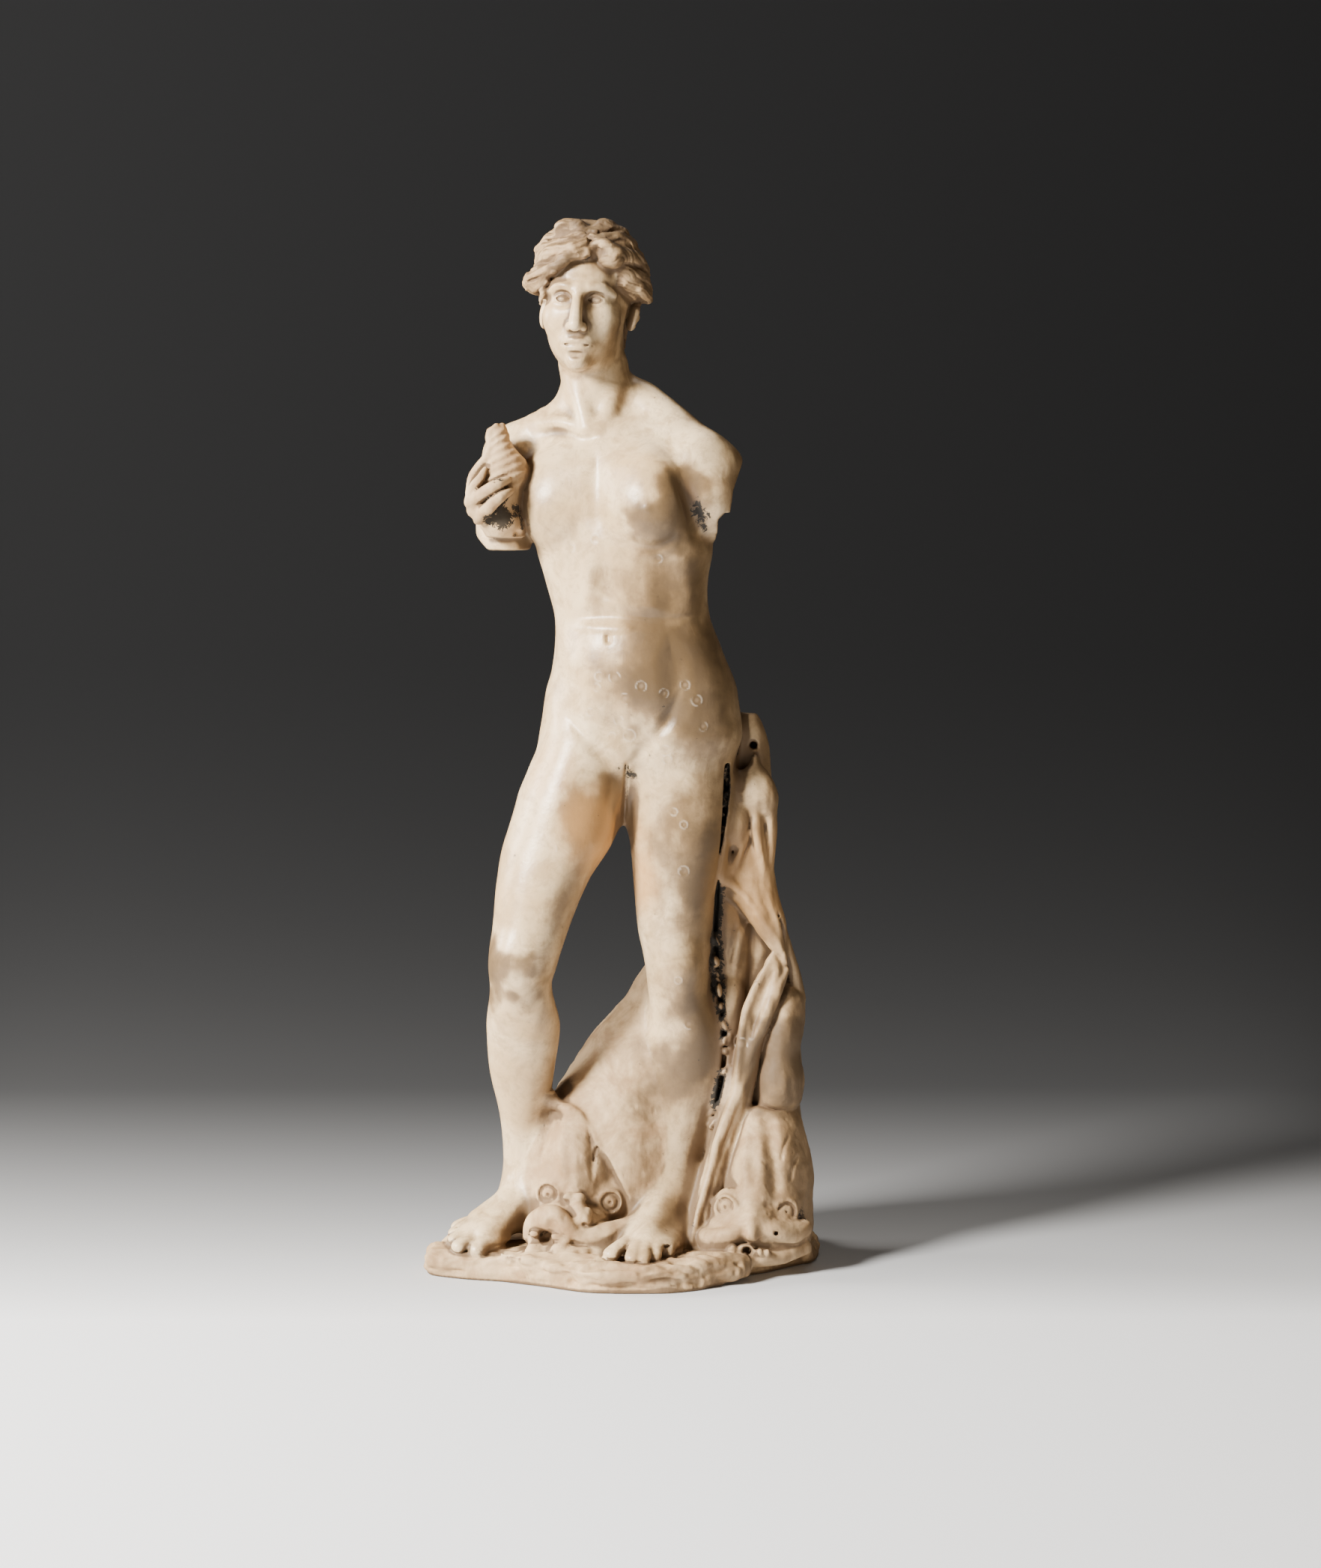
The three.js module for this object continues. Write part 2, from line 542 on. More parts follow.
class Field {
  constructor(low, high, step) {
    this.low = low;
    this.step = step;
    this.count = low.map((l, i) => Math.ceil((high[i] - l) / step) + 1);
    this.value = new Float32Array(this.count[0] * this.count[1] * this.count[2]).fill(FAR);
  }

  /** Calls change(old, distance) at each node within margin of the shape and keeps what it returns. */
  visit(shape, frame, margin, change) {
    const { low, high, distance } = shape;
    const corners = [];
    for (const x of [low[0] - margin, high[0] + margin]) {
      for (const y of [low[1] - margin, high[1] + margin]) {
        for (const z of [low[2] - margin, high[2] + margin]) corners.push(frame.out([x, y, z]));
      }
    }
    const first = [0, 1, 2].map((i) => {
      const edge = Math.min(...corners.map((c) => c[i]));
      return Math.max(Math.ceil((edge - this.low[i]) / this.step), 0);
    });
    const last = [0, 1, 2].map((i) => {
      const edge = Math.max(...corners.map((c) => c[i]));
      return Math.min(Math.floor((edge - this.low[i]) / this.step), this.count[i] - 1);
    });
    const [m, o, s] = [frame.axes, frame.origin, frame.scale];
    for (let k = first[2]; k <= last[2]; k++) {
      for (let j = first[1]; j <= last[1]; j++) {
        for (let i = first[0]; i <= last[0]; i++) {
          const x = (this.low[0] + i * this.step - o[0]) / s;
          const y = (this.low[1] + j * this.step - o[1]) / s;
          const z = (this.low[2] + k * this.step - o[2]) / s;
          const at = (k * this.count[1] + j) * this.count[0] + i;
          const u = m[0] * x + m[3] * y + m[6] * z;
          const v = m[1] * x + m[4] * y + m[7] * z;
          const w = m[2] * x + m[5] * y + m[8] * z;
          const d = distance(u, v, w);
          this.value[at] = change(this.value[at], d * s);
        }
      }
    }
  }

  /** Joins a shape on, with a fillet as wide as blend. */
  add(shape, blend = 0, frame = WORLD) {
    this.visit(shape, frame, (blend + 2 * this.step + 2) / frame.scale, (old, d) => {
      const h = blend > 0 ? Math.max(blend - Math.abs(old - d), 0) / blend : 0;
      return Math.min(old, d) - (h * h * blend) / 4;
    });
  }

  /** Takes a shape away, with edges as soft as blend. */
  cut(shape, blend = 0, frame = WORLD) {
    this.visit(shape, frame, (blend + 2 * this.step + 2) / frame.scale, (old, d) => {
      const h = blend > 0 ? Math.max(blend - Math.abs(old + d), 0) / blend : 0;
      return Math.max(old, -d) + (h * h * blend) / 4;
    });
  }

  /** Sinks the surface by depth along a shape, fading out over width. A negative depth raises it. */
  press(shape, depth, width, frame = WORLD) {
    this.visit(shape, frame, (6 * width) / frame.scale, (old, d) => {
      const t = Math.min(Math.max(d / width, 0), 1);
      return old + depth * (1 - t * t * (3 - 2 * t));
    });
  }

  /** Turns over the nodes of one sign that no chain of such nodes joins to the first one. */
  keepJoined(first, sign) {
    const [nx, ny, nz] = this.count;
    const reached = new Uint8Array(this.value.length);
    const open = [first];
    reached[first] = 1;
    while (open.length > 0) {
      const at = open.pop();
      const [i, j, k] = [at % nx, Math.floor(at / nx) % ny, Math.floor(at / (nx * ny))];
      for (const [inside, step] of [
        [i > 0, -1], [i < nx - 1, 1], [j > 0, -nx], [j < ny - 1, nx], [k > 0, -nx * ny], [k < nz - 1, nx * ny],
      ]) {
        if (inside && !reached[at + step] && this.value[at + step] * sign > 0) {
          reached[at + step] = 1;
          open.push(at + step);
        }
      }
    }
    for (let i = 0; i < this.value.length; i++) {
      if (this.value[i] * sign > 0 && !reached[i]) this.value[i] *= -1;
    }
  }

  /** Moves values off zero, fills hollows that nothing opens and drops pieces that hang free. */
  settle() {
    const v = this.value;
    let deepest = 0;
    for (let i = 0; i < v.length; i++) {
      if (Math.abs(v[i]) < 1e-3) v[i] = 1e-3;
      if (v[i] < v[deepest]) deepest = i;
    }
    this.keepJoined(0, 1);
    this.keepJoined(deepest, -1);
  }

  /** The surface where the value is zero: points, and three point numbers for each triangle. */
  surface() {
    const [nx, ny, nz] = this.count;
    const v = this.value;
    const cornerSteps = [
      [0, 0, 0], [1, 0, 0], [1, 1, 0], [0, 1, 0],
      [0, 0, 1], [1, 0, 1], [1, 1, 1], [0, 1, 1],
    ];
    const edges = [
      [0, 0], [1, 1], [3, 0], [0, 1], [4, 0], [5, 1], [7, 0], [4, 1], [0, 2], [1, 2], [2, 2], [3, 2],
    ];
    const stride = [1, nx, nx * ny];
    const offsets = cornerSteps.map((c) => c[0] + c[1] * nx + c[2] * nx * ny);
    const ids = new Map();
    const points = [];
    const faces = [];
    const pointOn = (node, axis) => {
      const key = node * 3 + axis;
      if (!ids.has(key)) {
        const t = Math.min(Math.max(v[node] / (v[node] - v[node + stride[axis]]), 0.12), 0.88);
        const place = [node % nx, Math.floor(node / nx) % ny, Math.floor(node / (nx * ny))];
        place[axis] += t;
        ids.set(key, points.length / 3);
        points.push(...place.map((p, i) => this.low[i] + p * this.step));
      }
      return ids.get(key);
    };
    for (let k = 0; k < nz - 1; k++) {
      for (let j = 0; j < ny - 1; j++) {
        for (let i = 0; i < nx - 1; i++) {
          const node = (k * ny + j) * nx + i;
          let kind = 0;
          for (let c = 0; c < 8; c++) if (v[node + offsets[c]] < 0) kind |= 1 << c;
          if (edgeTable[kind] === 0) continue;
          for (let t = kind * 16; triTable[t] !== -1; t += 3) {
            const corners = [triTable[t + 2], triTable[t + 1], triTable[t]];
            faces.push(...corners.map((e) => pointOn(node + offsets[edges[e][0]], edges[e][1])));
          }
        }
      }
    }
    return { points, faces };
  }
}

// Fewer triangles: short edges are closed where that moves the surface least

class Simplifier {
  constructor(points, faces) {
    this.p = Float64Array.from(points);
    this.f = Int32Array.from(faces);
    this.live = faces.length / 3;
    const n = this.p.length / 3;
    this.stamp = new Int32Array(n);
    this.around = Array.from({ length: n }, () => []);
    this.q = new Float64Array(n * 10);
    for (let t = 0; t < this.live; t++) {
      const [nx, ny, nz, area] = this.normal(t);
      const a = 3 * this.f[3 * t];
      const d = -(nx * this.p[a] + ny * this.p[a + 1] + nz * this.p[a + 2]);
      const closer = this.closeness(this.p[a], this.p[a + 1], this.p[a + 2]);
      const plane = [nx * nx, nx * ny, nx * nz, nx * d, ny * ny, ny * nz, ny * d, nz * nz, nz * d, d * d];
      for (let c = 0; c < 3; c++) {
        const at = this.f[3 * t + c];
        this.around[at].push(t);
        for (let i = 0; i < 10; i++) this.q[at * 10 + i] += plane[i] * area * closer;
      }
    }
    this.heap = [];
    for (let t = 0; t < this.live; t++) {
      for (let c = 0; c < 3; c++) {
        const [a, b] = [this.f[3 * t + c], this.f[3 * t + ((c + 1) % 3)]];
        if (a < b) this.offer(a, b);
      }
    }
  }

  /** How closely the surface is kept at a place. */
  closeness(x, y, z) {
    let most = 1;
    for (const [a, b, c, radius, factor] of FINE_PLACES) {
      if (Math.hypot(x - a, y - b, z - c) < radius) most = Math.max(most, factor);
    }
    return most;
  }

  normal(t, moved = -1, other = -1, to = null) {
    const get = (c) => {
      const i = this.f[3 * t + c];
      return i === moved || i === other ? to : [this.p[3 * i], this.p[3 * i + 1], this.p[3 * i + 2]];
    };
    const [a, b, c] = [get(0), get(1), get(2)];
    const u = [b[0] - a[0], b[1] - a[1], b[2] - a[2]];
    const w = [c[0] - a[0], c[1] - a[1], c[2] - a[2]];
    const n = [u[1] * w[2] - u[2] * w[1], u[2] * w[0] - u[0] * w[2], u[0] * w[1] - u[1] * w[0]];
    const size = Math.hypot(...n) + 1e-12;
    const across = Math.hypot(b[0] - c[0], b[1] - c[1], b[2] - c[2]);
    const longest = Math.max(Math.hypot(...u), Math.hypot(...w), across);
    return [n[0] / size, n[1] / size, n[2] / size, size / 2, size / (longest * longest + 1e-12)];
  }

  /** The best place for the point that replaces a and b, and what it costs. */
  best(a, b) {
    const q = new Float64Array(10);
    for (let i = 0; i < 10; i++) q[i] = this.q[a * 10 + i] + this.q[b * 10 + i];
    const mid = [0, 1, 2].map((i) => (this.p[3 * a + i] + this.p[3 * b + i]) / 2);
    const long = Math.hypot(...[0, 1, 2].map((i) => this.p[3 * a + i] - this.p[3 * b + i]));
    const hold = 1e-3 * (q[0] + q[4] + q[7]) + 1e-9;
    const [a0, a1, a2, b1, b2, c2] = [q[0] + hold, q[1], q[2], q[4] + hold, q[5], q[7] + hold];
    const r = [hold * mid[0] - q[3], hold * mid[1] - q[6], hold * mid[2] - q[8]];
    const m0 = b1 * c2 - b2 * b2;
    const m1 = a2 * b2 - a1 * c2;
    const m2 = a1 * b2 - a2 * b1;
    const det = a0 * m0 + a1 * m1 + a2 * m2;
    let to = mid;
    if (Math.abs(det) > 1e-12) {
      to = [
        (m0 * r[0] + m1 * r[1] + m2 * r[2]) / det,
        (m1 * r[0] + (a0 * c2 - a2 * a2) * r[1] + (a1 * a2 - a0 * b2) * r[2]) / det,
        (m2 * r[0] + (a1 * a2 - a0 * b2) * r[1] + (a0 * b1 - a1 * a1) * r[2]) / det,
      ];
      if (Math.hypot(to[0] - mid[0], to[1] - mid[1], to[2] - mid[2]) > long) to = mid;
    }
    const [x, y, z] = to;
    const error = q[0] * x * x + 2 * q[1] * x * y + 2 * q[2] * x * z + 2 * q[3] * x
      + q[4] * y * y + 2 * q[5] * y * z + 2 * q[6] * y + q[7] * z * z + 2 * q[8] * z + q[9];
    return [Math.max(error, 0) + 1e-4 * long * long, to];
  }

  offer(a, b) {
    const [cost, to] = this.best(a, b);
    const entry = { cost, a, b, to, seen: this.stamp[a] + this.stamp[b] };
    const h = this.heap;
    let i = h.push(entry) - 1;
    while (i > 0 && h[(i - 1) >> 1].cost > cost) {
      h[i] = h[(i - 1) >> 1];
      i = (i - 1) >> 1;
    }
    h[i] = entry;
  }

  take() {
    const h = this.heap;
    const top = h[0];
    const entry = h.pop();
    if (h.length > 0) {
      let i = 0;
      for (let c = 1; c < h.length; c = 2 * i + 1) {
        if (c + 1 < h.length && h[c + 1].cost < h[c].cost) c++;
        if (h[c].cost >= entry.cost) break;
        h[i] = h[c];
        i = c;
      }
      h[i] = entry;
    }
    return top;
  }

  near(a) {
    const out = new Set();
    for (const t of this.around[a]) for (let c = 0; c < 3; c++) out.add(this.f[3 * t + c]);
    out.delete(a);
    return out;
  }

  close({ a, b, to }) {
    const [na, nb] = [this.near(a), this.near(b)];
    let shared = 0;
    for (const i of na) if (nb.has(i)) shared++;
    if (shared !== 2) return false;
    const both = this.around[a].filter((t) => this.around[b].includes(t));
    for (const i of [a, b]) {
      for (const t of this.around[i]) {
        if (both.includes(t)) continue;
        const [x, y, z] = this.normal(t);
        const [u, v, w, , shape] = this.normal(t, a, b, to);
        if (x * u + y * v + z * w < 0.25 || shape < 0.04) return false;
      }
    }
    for (let i = 0; i < 3; i++) this.p[3 * a + i] = to[i];
    for (let i = 0; i < 10; i++) this.q[a * 10 + i] += this.q[b * 10 + i];
    for (const t of both) {
      for (let c = 0; c < 3; c++) {
        const at = this.f[3 * t + c];
        this.around[at] = this.around[at].filter((s) => s !== t);
      }
      this.f[3 * t] = -1;
    }
    for (const t of this.around[b]) {
      for (let c = 0; c < 3; c++) if (this.f[3 * t + c] === b) this.f[3 * t + c] = a;
      this.around[a].push(t);
    }
    this.around[b] = [];
    this.live -= 2;
    this.stamp[a] += 1;
    this.stamp[b] += 1e6;
    for (const i of this.near(a)) this.offer(Math.min(a, i), Math.max(a, i));
    return true;
  }

  run(most) {
    while (this.live > most && this.heap.length > 0) {
      const entry = this.take();
      const [a, b] = [entry.a, entry.b];
      const fresh = entry.seen === this.stamp[a] + this.stamp[b];
      if (fresh && this.around[a].length && this.around[b].length) this.close(entry);
    }
    const index = [];
    for (let t = 0; t < this.f.length; t += 3) {
      if (this.f[t] >= 0) index.push(this.f[t], this.f[t + 1], this.f[t + 2]);
    }
    const used = [...new Set(index)];
    const place = new Map(used.map((i, k) => [i, k]));
    return {
      points: used.flatMap((i) => [this.p[3 * i], this.p[3 * i + 1], this.p[3 * i + 2]]),
      faces: index.map((i) => place.get(i)),
    };
  }
}

// Places of the main forms

const CHEST = new Frame([-6, 4, 800], [0, 0, -25]);
const HIPS = new Frame([18, 3, 600], [0, 0, -14]);
const BREAK = new Frame([118, -36, 0], [0, 0, 4]);
const HEAD = new Frame([-40, 2, 1080], [0, 3, -9]);
const BENT_LEG_FOOT = new Frame([-114, 20, 30], [0, 11, -43]);
const STANDING_FOOT = new Frame([54, 2, 28], [0, 0, -16]);

// The statue, part by part

function addBody(f) {
  f.add(loft(TRUNK_SECTIONS));
  f.add(loft(STANDING_LEG), 24);
  f.add(loft(BENT_LEG), 24);
  // seat
  for (const s of [-1, 1]) {
    f.add(ball([s * 48, 52, -4], [50, 40, 48]), 22, HIPS);
  }
  f.cut(tube([[0, 98, -34], [0, 99, 0], [0, 88, 36]], [5, 7, 3]), 12, HIPS);
  // belly, with its right side in shadow, and the groin
  f.add(ball([-6, -36, 74], [58, 34, 50]), 30, HIPS);
  f.add(ball([-14, -44, -12], [26, 20, 24]), 14, HIPS);
  f.press(
    line([[50, -62, 712], [54, -62, 684], [56, -62, 652], [52, -62, 628], [38, -62, 606]], 16), 4.5, 24,
  );
  f.press(line([[-64, -56, 690], [-66, -56, 650], [-58, -58, 618], [-44, -58, 602]], 12), 2.5, 20);
  f.press(
    line([[62, -62, 654], [47, -62, 620], [34, -62, 602], [20, -62, 586], [3, -60, 569]], 8), 2.6, 12,
  );
  f.press(
    line([[-64, -58, 626], [-46, -58, 604], [-31, -60, 589], [-13, -60, 575], [2, -60, 567]], 7), 2.6, 11,
  );
  f.press(line([[3, -54, 572], [2, -50, 548], [1, -40, 524], [0, -30, 506]], 1), 6, 4);
  // folds over the navel, middle line and the edges of the belly's muscles
  f.press(
    line(
      [[-70, -44, 731], [-38, -56, 735], [-10, -62, 735], [18, -64, 732], [50, -60, 731], [80, -50, 736]],
      14,
    ),
    3.4, 16,
  );
  f.press(line([[-40, -54, 734], [-14, -62, 736], [14, -64, 733], [44, -60, 731]], 5), 0.8, 6);
  f.press(line([[-62, -44, 720], [-36, -56, 723], [-10, -62, 723], [12, -64, 721]], 8), -1.8, 10);
  f.press(line([[-21, -62, 748], [-20, -64, 776], [-21, -66, 812]], 12), 3, 20);
  f.press(line([[-60, -50, 800], [-54, -56, 776], [-52, -56, 752]], 12), 2.5, 22);
  f.press(line([[40, -58, 806], [47, -58, 776], [52, -58, 744]], 14), 3.6, 27);
  f.press(line([[-17, -62, 700], [-16, -64, 670], [-10, -66, 640]], 6), 1.2, 22);
  f.press(line([[-17, -62, 713], [-17, -62, 708]], 1), 3.4, 7);
  // breasts, with the folds below them and the hollow between
  for (const s of [-1, 1]) {
    f.add(ball([s * 55, -38, 67], [39, 28, 44]), 32, CHEST);
    f.add(ball([s * 60, -46, 52], [30, 25, 33]), 22, CHEST);
  }
  f.add(ball([68, -70, 53], [4.5, 4, 4.5]), 5, CHEST);
  f.press(
    line(
      [[-16, -68, 828], [-2, -68, 819], [14, -68, 813], [32, -68, 811], [49, -68, 817], [60, -60, 832]], 7,
    ),
    2.2, 10,
  );
  f.press(
    line([[-45, -60, 862], [-47, -64, 842], [-55, -66, 824], [-72, -60, 812], [-90, -50, 814]], 8), 1.8, 13,
  );
  f.press(line([[-30, -52, 910], [-28, -58, 880], [-27, -64, 850], [-24, -66, 826]], 12), 3, 20);
}

function addShoulders(f) {
  f.add(tube([[-36, 26, 972], [-72, 34, 948], [-118, 52, 910]], [26, 24, 35]), 24);
  f.add(tube([[-20, 26, 984], [6, 18, 976], [30, 7, 960], [84, -28, 905]], [20, 24, 26, 33]), 18);
  // collar bones
  f.add(tube([[-26, -22, 940], [20, -27, 944], [58, -30, 938], [84, -28, 922]], [5, 5, 6, 7]), 14);
  f.add(tube([[-44, -20, 940], [-70, -4, 948], [-96, 22, 946], [-114, 46, 934]], [5, 5, 6, 8]), 14);
  // viewer-left arm, cut off under the shell
  f.add(tube([[-120, 54, 908], [-132, 46, 860], [-136, 40, 790]], [38, 34, 29]), 14);
  f.cut(block([-150, 45, LEVEL_BREAK - 25], [48, 50, 25]), 3);
  f.cut(prism([[-178, 826], [-166, 822], [-152, 806], [-150, 790], [-178, 790]], -20, 110), 3);
  // viewer-right arm, broken off at the armpit
  f.add(tube([[84, -32, 900], [93, -36, 872], [97, -34, 850]], [39, 38, 31], [1, 1, 1], 14), 10);
  f.add(ball([106, -34, 900], [26, 28, 22]), 12);
  f.cut(prism([[14, 908], [0, 872], [-3, 848], [-3, 820], [70, 820], [70, 930]], -80, 90), 1, BREAK);
  f.cut(prism([[-9, 848], [-25, 831], [-16, 815], [-16, 796], [40, 796], [40, 848]], -80, 90), 1.5, BREAK);
  f.cut(tube([[58, -84, 896], [70, -76, 862], [84, -66, 826]], [3, 4, 5]), 12);
  // back
  for (const s of [-1, 1]) {
    f.add(ball([s * 56, 52, 72], [38, 22, 46]), 28, CHEST);
  }
  f.cut(tube([[0, 82, 120], [0, 84, 40], [0, 74, -40], [0, 70, -110]], [4, 6, 7, 4]), 18, CHEST);
}

/** Socket, lids with an almond opening, the eyeball and the brow. */
function addEyeLids(f, s) {
  f.cut(ball([s * 17.5, -61, 0.5], [12.5, 8, 8]), 9, HEAD);
  f.add(ball([s * 18, -42.5, 0], [13.2, 12.6, 9.2], [0, 0, s * 10]), 4, HEAD);
  const almond = both(ball([s * 18, -56, -8.6], [12, 18, 12.2]), ball([s * 18, -56, 8.6], [12, 18, 12.2]));
  f.cut(almond, 0.8, HEAD);
  f.add(ball([s * 18, -42, 0], [11, 11.4, 10], [0, 0, s * 10]), 0.3, HEAD);
  f.press(
    line([[s * 8, -54, 3], [s * 14, -56, 7.4], [s * 22, -54, 7.2], [s * 29, -48, 3]], 1), 1.2, 2.2, HEAD,
  );
  f.add(
    tube(
      [[s * 6, -58, 10], [s * 15, -57.5, 13.5], [s * 26, -52, 13], [s * 36, -42, 7]], [3, 3.5, 3.5, 2.5],
    ),
    10, HEAD,
  );
}

function addFace(f) {
  f.add(ball([0, 12, 18], [49, 60, 56]), 10, HEAD);
  f.add(ball([0, -14, -14], [43, 46, 58]), 14, HEAD);
  f.add(ball([0, -20, -42], [33, 36, 32]), 12, HEAD);
  f.add(ball([0, -46, -66], [13, 13, 12]), 12, HEAD);
  for (const s of [-1, 1]) {
    f.add(ball([s * 24, -38, -20], [17, 15, 19]), 12, HEAD);
  }
  f.add(ball([0, -24, 30], [40, 35, 30]), 12, HEAD);
  for (const s of [-1, 1]) {
    addEyeLids(f, s);
  }
  // nose
  f.add(tube([[0, -56, 13], [0, -61, 2], [0, -67, -12], [0, -71, -28]], [6, 5.5, 6.3, 7.6]), 6, HEAD);
  for (const s of [-1, 1]) {
    f.add(ball([s * 7.5, -63, -30], [5, 6.5, 5.2]), 4, HEAD);
    f.cut(ball([s * 4.5, -68, -37], [2.4, 3.5, 2.5]), 2, HEAD);
    f.cut(tube([[s * 13, -62, -27], [s * 15.5, -60, -34], [s * 18, -57, -42]], [0.8, 1.4, 1]), 5, HEAD);
  }
  // mouth
  f.add(ball([0, -50, -46], [18, 11, 14]), 9, HEAD);
  for (const s of [-1, 1]) {
    f.add(
      tube(
        [[s * 17, -51.5, -48.4], [s * 10, -57.6, -46], [s * 3.5, -61, -44.2], [0, -60.4, -45.2]],
        [1.2, 2.4, 2.9, 2.7],
      ),
      3, HEAD,
    );
  }
  f.add(
    tube(
      [[-14, -52.6, -50.6], [-7.5, -57, -53], [0, -58.8, -53.8], [7.5, -57, -53], [14, -52.6, -50.6]],
      [1.4, 2.9, 3.4, 2.9, 1.4],
    ),
    3.5, HEAD,
  );
  f.cut(
    tube(
      [[-18, -51.5, -48.8], [-8, -61.4, -49.4], [0, -63.4, -49], [8, -61.4, -49.4], [18, -51.5, -48.8]],
      [0.8, 1.1, 1.1, 1.1, 0.8],
    ),
    1.2, HEAD,
  );
  f.cut(ball([0, -60, -60.5], [8, 3.4, 3]), 5, HEAD);
  f.cut(tube([[0, -68, -36], [0, -67, -42]], [1.2, 1.4]), 2.5, HEAD);
}

function addEar(f, centre, turn) {
  const e = new Frame(centre, turn);
  f.add(ball([0, 0, 0], [7, 13, 19]), 3, e);
  f.cut(ball([5, -3, 3], [5, 8, 11.5]), 2, e);
  f.cut(ball([5, -4, -9], [4, 4, 4]), 2, e);
  f.add(ball([3, -7, -3], [2.5, 3, 4]), 2, e);
}

/** Point of the hair at an angle from the front, and at a height angle. */
function onHair(side, around, up) {
  const [a, u] = [(around * Math.PI) / 180, (up * Math.PI) / 180];
  return [
    CROWN[0] + side * CROWN_REACH[0] * Math.sin(a) * Math.cos(u),
    CROWN[1] - CROWN_REACH[1] * Math.cos(a) * Math.cos(u), CROWN[2] + CROWN_REACH[2] * Math.sin(u),
  ];
}

/** Two strands wound about a path. */
function addLock(f, path, radii, wave) {
  for (const side of [-1, 1]) {
    const line = [];
    for (const [i, p] of path.entries()) {
      const a = i * 1.9 + (side < 0 ? 0 : Math.PI);
      line.push([p[0] + wave * Math.cos(a), p[1] + wave * Math.sin(a), p[2] + wave * Math.sin(a)]);
    }
    f.add(tube(line, radii.map((r) => r * 0.72)), 3);
  }
}

/** A path that swings up and down, and in and out, along its way. */
function waved(path, swing, turns, start) {
  const line = [];
  const steps = 4 * (path.length - 1);
  for (let k = 0; k <= steps; k++) {
    const i = Math.min(Math.floor(k / 4), path.length - 2);
    const t = k / 4 - i;
    const a = start + (2 * Math.PI * turns * k) / steps;
    const [p, q] = [path[i], path[i + 1]];
    line.push(
      [
        p[0] + (q[0] - p[0]) * t, p[1] + (q[1] - p[1]) * t + 0.5 * swing * Math.cos(a),
        p[2] + (q[2] - p[2]) * t + swing * Math.sin(a),
      ],
    );
  }
  return line;
}

/** Radii of a swinging path, four to each of the given ones. */
function thicknesses(radii) {
  const fine = [];
  for (let k = 0; k <= 4 * (radii.length - 1); k++) {
    const i = Math.min(Math.floor(k / 4), radii.length - 2);
    fine.push(radii[i] + (radii[i + 1] - radii[i]) * (k / 4 - i));
  }
  return fine;
}

